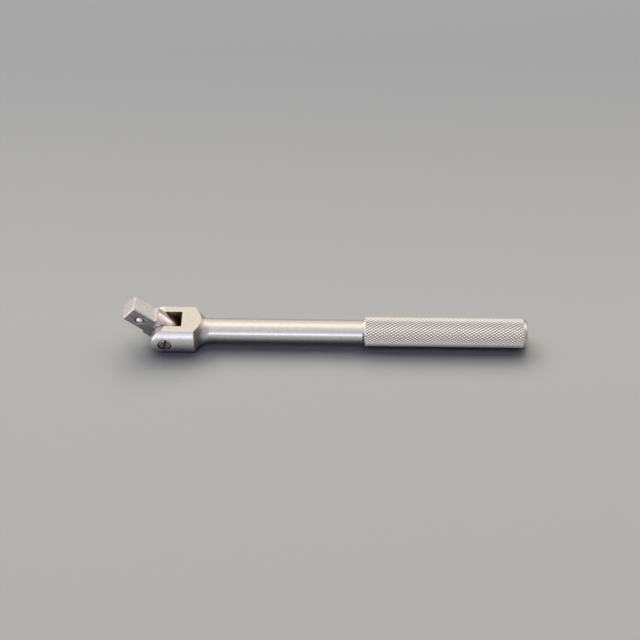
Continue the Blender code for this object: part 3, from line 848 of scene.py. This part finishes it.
def head_matrix(tilt):
    """From the head's own axes (near side, up, along) to the part's frame: along is the drive direction."""
    along = Vector((-math.cos(tilt), 0, math.sin(tilt)))
    up = Vector((math.sin(tilt), 0, math.cos(tilt)))
    matrix = Matrix((Vector((0, -1, 0)), up, along)).transposed().to_4x4()
    matrix.translation = PIVOT
    return matrix


def head_ring(radius, side, height, columns):
    """One ring of the head: a circle cut by two sides and, where it is wider than they are, by two faces.

    It holds the points of the near side, the corner, the upper face and the next corner, and their mirror
    image through the axis. Where the circle is narrower than the faces, their points lie on the circle.
    """
    side_steps, corner_steps, face_steps = columns
    side_turn = math.acos(min(1, side / radius))
    face_edge = min(radius * math.cos(side_turn), radius)
    if height < radius:
        face_turn = math.asin(height / radius)
    else:
        face_turn = max(math.acos(0.6), side_turn + math.radians(4))
    flat = np.linspace(-1, 1, side_steps + 1)[:-1] * radius * math.sin(side_turn)
    near = np.stack([np.full(side_steps, -face_edge), flat], -1)
    corner = np.linspace(side_turn, face_turn, corner_steps + 1)[:-1]
    corner = radius * np.stack([-np.cos(corner), np.sin(corner)], -1)
    across = np.linspace(-1, 1, face_steps + 1)[:-1] * radius * math.cos(face_turn)
    rise = np.minimum(height, np.sqrt(radius**2 - across**2))
    face = np.stack([across, rise], -1)
    back = np.linspace(face_turn, side_turn, corner_steps + 1)[:-1]
    back = radius * np.stack([np.cos(back), np.sin(back)], -1)
    half = np.concatenate([near, corner, face, back])
    return np.concatenate([half, -half])


def make_head(head):
    """Square, collar and tang as rings along the head, from the middle of its end to the tang's round end.

    A ring is the place along the head, the radius of its circle, and the distances of its sides and faces
    from the axis. The fillet is a quarter circle, and the tang's end a half circle carried round. The bores
    of the detent ball and the pivot screw are cut out afterwards.
    """
    side, corner = head.square / 2, head.corner_diameter / 2
    collar, tang = head.collar_diameter / 2, head.tang_diameter / 2
    chamfer = head.end_chamfer
    wide = collar + MM  # past the circle, so that no face cuts it
    fillet_top = head.shoulder + head.fillet
    back = head.shoulder - head.collar_length
    rings = [
        (head.reach, (corner - chamfer) * t, (side - chamfer) * t, (side - chamfer) * t)
        for t in (1e-6, 0.4, 0.8, 1.0)
    ]
    rings += [(z, corner, side, side) for z in np.linspace(head.reach - chamfer, fillet_top, 9)]
    for bend in np.radians((15, 30, 45, 60, 75, 90)):
        out = 1 - math.cos(bend)
        z = fillet_top - head.fillet * math.sin(bend)
        rings.append((z, corner + (collar - corner) * out, side, side + head.fillet * out))
    rings.append((head.shoulder - 0.02 * MM, collar, side, wide))
    rings += [(z, collar, side, wide) for z in np.linspace(head.shoulder - 0.4 * MM, back, 5)]
    rings.append((back - head.tang_taper, tang, side, wide))
    for bend in np.radians(np.linspace(0, 90, 25)):
        rings.append((-tang * math.sin(bend), max(tang * math.cos(bend), 1e-7), side, wide))
    points = np.stack([lifted(head_ring(r, min(s, r), h, (16, 6, 16)), z) for z, r, s, h in rings])
    piece = shell("square_drive_head", (points, True))

    def weights(middles, bends):
        """A small rounding along the edges of the square, its end and its collar."""
        sharp = bends > math.radians(18)
        return np.where(sharp & (middles[:, 2] > head.shoulder - 2 * MM), 1.0, 0.0)

    soften(piece, weights, 0.15 * MM, 2)

    # The cutter of the ball's bore in mm, as radius and height above the near side: a shallow ring where the
    # lip was pressed in over the ball, the lip, and the bore behind it.
    bore = [
        (0, 3), (3.3, 3), (3.3, 0), (3.05, -0.42), (2.65, -0.45), (2.45, -0.3), (2.45, -0.5), (2.8, -0.8),
        (2.8, -10.7), (0, -10.7),
    ]
    cutter = turned("detent_bore", np.array(bore) * MM)
    mouth = Matrix.Translation((side, 0, head.reach - head.detent_inset))
    cutter.data.transform(mouth @ Matrix.Rotation(math.pi / 2, 4, "Y"))
    cut(piece, cutter)
    hole, past = head.pivot_bore / 2, side + 3 * MM
    cutter = turned("tang_bore", [(0, past), (hole, past), (hole, -past), (0, -past)], 48)
    cutter.data.transform(Matrix.Rotation(math.pi / 2, 4, "Y"))
    cut(piece, cutter)
    piece.data.transform(head_matrix(head.tilt))
    smooth_by_angle(piece, 32)
    return piece


def make_screw(bar, screw):
    """Pivot screw: a turned outline with a worn, chamfered head, and a screwdriver slot across it."""
    face, seat, pin_end, thread_end = screw_places(bar, screw)
    head, pin, thread = screw.head_diameter / 2, screw.pin_diameter / 2, screw.thread_diameter / 2
    chamfer, lead = screw.head_chamfer, 0.6 * MM
    profile = [
        (0, thread_end), (thread - lead, thread_end), (thread, thread_end - lead), (thread, pin_end),
        (pin, pin_end), (pin, seat), (head, seat), (head, face + chamfer),
        (head - 0.25 * MM, face + 0.3 * MM), (head - chamfer, face + 0.04 * MM), (0.6 * head, face),
        (0, face),
    ]
    piece = turned("slotted_pivot_screw", profile)
    piece.data.transform(Matrix.Rotation(-math.pi / 2, 4, "X"))
    wide, long = screw.slot_width / 2, 6 * MM
    corners = np.array([(-wide, -long), (wide, -long), (wide, long), (-wide, long)])
    box = np.stack([np.insert(corners, 1, y, axis=1) for y in (face - MM, face + screw.slot_depth)])
    cutter = shell("screw_slot", (box, True), *((end[[[0, 1], [3, 2]]], False) for end in box))
    cutter.data.transform(Matrix.Rotation(screw.slot_turn, 4, "Y"))
    cut(piece, cutter)
    piece.data.transform(Matrix.Translation(PIVOT))
    smooth_by_angle(piece, 30)
    return piece


def make_ball(node, diameter):
    """A ball on a grid of latitude and longitude, in the place of the CAD ball."""
    low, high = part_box(node)
    latitude = np.linspace(-math.pi / 2, math.pi / 2, 41)
    piece = turned("polished_detent_ball", np.stack([np.cos(latitude), np.sin(latitude)], -1) * diameter / 2)
    piece.data.transform(Matrix.Translation((low + high) / 2))
    return piece


def make_spring(name, node, axis, wire, coil, turns, ball_body, holder):
    """A coil spring in the place of a CAD one: a round wire carried along a helix that rises evenly.

    The wire's ring lies in the plane of the helix's inward normal and binormal, and shrinks to a point at
    either end.
    """
    low, high = np.array(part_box(node))
    middle = (low + high) / 2
    rise = (high - low)[axis] - wire
    up = np.concatenate([[0, 0], np.linspace(0, 1, 36 * turns + 1), [1, 1]])[:, None]
    swell = np.concatenate([[0, 0.6], np.ones(len(up) - 4), [0.6, 0]])[:, None, None] * wire / 2
    turn = math.tau * turns * up
    outward = np.concatenate([np.cos(turn), np.sin(turn), 0 * turn], 1)
    path = np.concatenate([outward[:, :2] * coil / 2, rise * (up - 0.5)], 1)
    pitch = np.full_like(turn, rise / (math.tau * turns))
    ahead = np.concatenate([-np.sin(turn) * coil / 2, np.cos(turn) * coil / 2, pitch], 1)
    ahead /= np.linalg.norm(ahead, axis=1, keepdims=True)
    aside = np.cross(ahead, -outward)
    around = np.linspace(0, math.tau, 12, endpoint=False)[None, :, None]
    points = path[:, None] + swell * (np.sin(around) * aside[:, None] - np.cos(around) * outward[:, None])
    piece = shell(name, (np.roll(points, axis + 1, -1) + middle, True))
    start, end = middle.copy(), middle.copy()
    start[axis], end[axis] = low[axis] + wire, high[axis] - wire
    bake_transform(piece)
    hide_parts(node)
    return piece


# Operators


class SPINNER_OT_bar(bpy.types.Operator):
    """Build the fork, neck and shank."""

    bl_idname = "spinner.bar"
    bl_label = "Fork and shank"

    def execute(self, context):
        bar, screw = context.scene.spinner_bar, context.scene.spinner_screw
        piece = make_fork_and_shank(bar, context.scene.spinner_grip, screw)
        dress(piece, satin_chrome(bar, screw), "handle", "handle_bar")
        return {"FINISHED"}


class SPINNER_OT_grip(bpy.types.Operator):
    """Build the diamond-knurled grip."""

    bl_idname = "spinner.grip"
    bl_label = "Knurled grip"

    def execute(self, context):
        grip = context.scene.spinner_grip
        piece = make_grip(context.scene.spinner_bar, grip)
        dress(piece, knurled_chrome(grip), "handle", "handle_bar")
        return {"FINISHED"}


class SPINNER_OT_head(bpy.types.Operator):
    """Build the square drive head."""

    bl_idname = "spinner.head"
    bl_label = "Drive head"

    def execute(self, context):
        head = context.scene.spinner_head
        dress(make_head(head), milled_chrome(head), "head", "drive_head")
        return {"FINISHED"}


class SPINNER_OT_fittings(bpy.types.Operator):
    """Build the pivot screw, the detent ball and the springs, and finish the friction ball."""

    bl_idname = "spinner.fittings"
    bl_label = "Screw, balls and springs"

    def execute(self, context):
        bar, screw = context.scene.spinner_bar, context.scene.spinner_screw
        dark = oxide_steel(screw, screw_places(bar, screw)[0])
        dress(make_screw(bar, screw), dark, "handle", "pivot_screw")
        polished, drawn = bearing_steel(screw), spring_wire(screw)
        ball = make_ball("detent_ball", screw.ball_diameter)
        dress(ball, polished, "detent", "detent_ball")
        materials = frame["nodes"]["friction_ball"].data.materials
        materials.clear()
        materials.append(polished)
        detent = (screw.detent_wire, screw.detent_coil, screw.detent_turns)
        friction = (screw.friction_wire, screw.friction_coil, screw.friction_turns)
        for spring in (
            make_spring("detent_coil_spring", "detent_spring", 1, *detent, "detent", "head"),
            make_spring("friction_coil_spring", "friction_spring", 0, *friction, "friction", "handle"),
        ):
            spring.data.materials.append(drawn)
        return {"FINISHED"}


class SPINNER_OT_stage(bpy.types.Operator):
    """Set the floor, the soft boxes, the studio that the metal mirrors, and the camera."""

    bl_idname = "spinner.stage"
    bl_label = "Stage"

    def execute(self, context):
        stage = context.scene.spinner_stage
        make_floor(stage)
        for name, values in BOXES.items():
            soft_box(name, stage, *values)
        surround(context.scene, stage)
        place_camera(context.scene)
        context.scene.view_settings.view_transform = "Standard"
        return {"FINISHED"}


def make_floor(stage):
    """A large flat sheet at the height of the part's lowest point."""
    across = np.linspace(-3, 3, 3)
    plane = np.stack(np.meshgrid(across, across, indexing="ij"), -1)
    points = lifted(plane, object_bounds()[0][2])
    obj = mesh_piece("floor", points.reshape(-1, 3), grid_quads(3, 3, False))
    obj.data.materials.append(matt_floor(stage))
    obj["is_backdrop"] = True


def towards(azimuth, elevation):
    """Direction of an azimuth from +Y towards +X and an elevation, both in degrees."""
    around, above = math.radians(azimuth), math.radians(elevation)
    return Vector((math.sin(around) * math.cos(above), math.cos(around) * math.cos(above), math.sin(above)))


def soft_box(name, stage, azimuth, elevation, width, height, level, tint):
    """A lamp that faces the part and lights the floor; its power is its radiance times pi times its area."""
    lamp = bpy.data.lights.new(name, "AREA")
    lamp.shape = "RECTANGLE"
    lamp.size, lamp.size_y = width, height
    lamp.energy = level * stage.box_level * math.pi * width * height
    lamp.color = linear(tint)[:3]
    away = towards(azimuth, elevation)
    obj = bpy.data.objects.new(name, lamp)
    obj.location = BOX_TARGET + away * stage.box_distance
    obj.rotation_euler = (-away).to_track_quat("-Z", "Y").to_euler()
    obj.visible_glossy = False
    bpy.context.scene.collection.objects.link(obj)


def surround(scene, stage):
    """The studio round the part: soft patches for the metal to mirror, and a plain pale wall for the camera.

    The light of a patch is its radiance times e to the power of its focus times (cosine to its centre - 1).
    """
    world = bpy.data.worlds.new("studio")
    world.use_nodes = True
    world.cycles_visibility.diffuse = False
    view = add(world, "TexCoord", out="Generated")
    total = None
    for azimuth, elevation, focus, level, tint in MIRRORED:
        centre = towards(azimuth, elevation)
        near = add(world, "VectorMath", view, centre, out="Value", operation="DOT_PRODUCT")
        fall = add(world, "Math", near, focus, -focus, operation="MULTIPLY_ADD")
        glow = add(world, "Math", fall, operation="EXPONENT")
        light = [level * stage.mirrored_level * c for c in linear(tint)[:3]]
        patch = add(world, "VectorMath", light, at={"Scale": glow}, operation="SCALE")
        total = patch if total is None else add(world, "VectorMath", total, patch, operation="ADD")
    # The metal throws no light of the patches back onto the floor.
    bounces = add(world, "LightPath", out="Diffuse Depth")
    direct = add(world, "Math", bounces, 0.5, operation="LESS_THAN")
    seen = add(world, "VectorMath", total, at={"Scale": direct}, operation="SCALE")
    camera_ray = add(world, "LightPath", out="Is Camera Ray")
    wall = add(world, "Mix", camera_ray, at={6: seen, 7: stage.floor}, **COLOURS)
    feed(world, world.node_tree.nodes["Background"], {"Color": wall, "Strength": 1.0})
    scene.world = world


def place_camera(scene):
    """The photograph's view: 46 degrees down on the part, almost square to the bar."""
    camera = bpy.data.cameras.new("photo_camera")
    camera.sensor_width = CAMERA["sensor"]
    camera.lens = CAMERA["lens"]
    ahead = towards(CAMERA["azimuth"], -CAMERA["elevation"])
    right = towards(CAMERA["azimuth"] + 90, 0)
    up = right.cross(ahead)
    roll = math.radians(CAMERA["roll"])
    turned_right = right * math.cos(roll) + up * math.sin(roll)
    turned_up = up * math.cos(roll) - right * math.sin(roll)
    matrix = Matrix((turned_right, turned_up, -ahead)).transposed().to_4x4()
    matrix.translation = PIVOT + CAMERA_TARGET - ahead * CAMERA["distance"]
    obj = bpy.data.objects.new("photo_camera", camera)
    obj.matrix_world = matrix
    scene.collection.objects.link(obj)
    scene.camera = obj


class SPINNER_PT_panel(bpy.types.Panel):
    """Lists the settings and the steps."""

    bl_idname = "SPINNER_PT_panel"
    bl_label = "Spinner handle"
    bl_space_type = "VIEW_3D"
    bl_region_type = "UI"
    bl_category = "Spinner handle"

    def draw(self, context):
        for name, group in SETTINGS.items():
            box = self.layout.box()
            box.label(text=group.__doc__)
            settings = getattr(context.scene, name)
            for prop in group.__annotations__:
                box.prop(settings, prop)
        for operator in OPERATORS:
            self.layout.operator(operator.bl_idname)


SETTINGS = {
    "spinner_bar": SpinnerBarSettings,
    "spinner_grip": SpinnerGripSettings,
    "spinner_head": SpinnerHeadSettings,
    "spinner_screw": SpinnerScrewSettings,
    "spinner_stage": SpinnerStageSettings,
}
OPERATORS = (SPINNER_OT_bar, SPINNER_OT_grip, SPINNER_OT_head, SPINNER_OT_fittings, SPINNER_OT_stage)


def register():
    for group in SETTINGS.values():
        bpy.utils.register_class(group)
    for operator in OPERATORS:
        bpy.utils.register_class(operator)
    bpy.utils.register_class(SPINNER_PT_panel)
    for name, group in SETTINGS.items():
        setattr(bpy.types.Scene, name, PointerProperty(type=group))


def unregister():
    for name in SETTINGS:
        delattr(bpy.types.Scene, name)
    bpy.utils.unregister_class(SPINNER_PT_panel)
    for operator in reversed(OPERATORS):
        bpy.utils.unregister_class(operator)
    for group in reversed(SETTINGS.values()):
        bpy.utils.unregister_class(group)


def main():
    register()
    bpy.ops.spinner.bar()
    bpy.ops.spinner.grip()
    bpy.ops.spinner.head()
    bpy.ops.spinner.fittings()
    bpy.ops.spinner.stage()


if __name__ == "__main__":
    main()
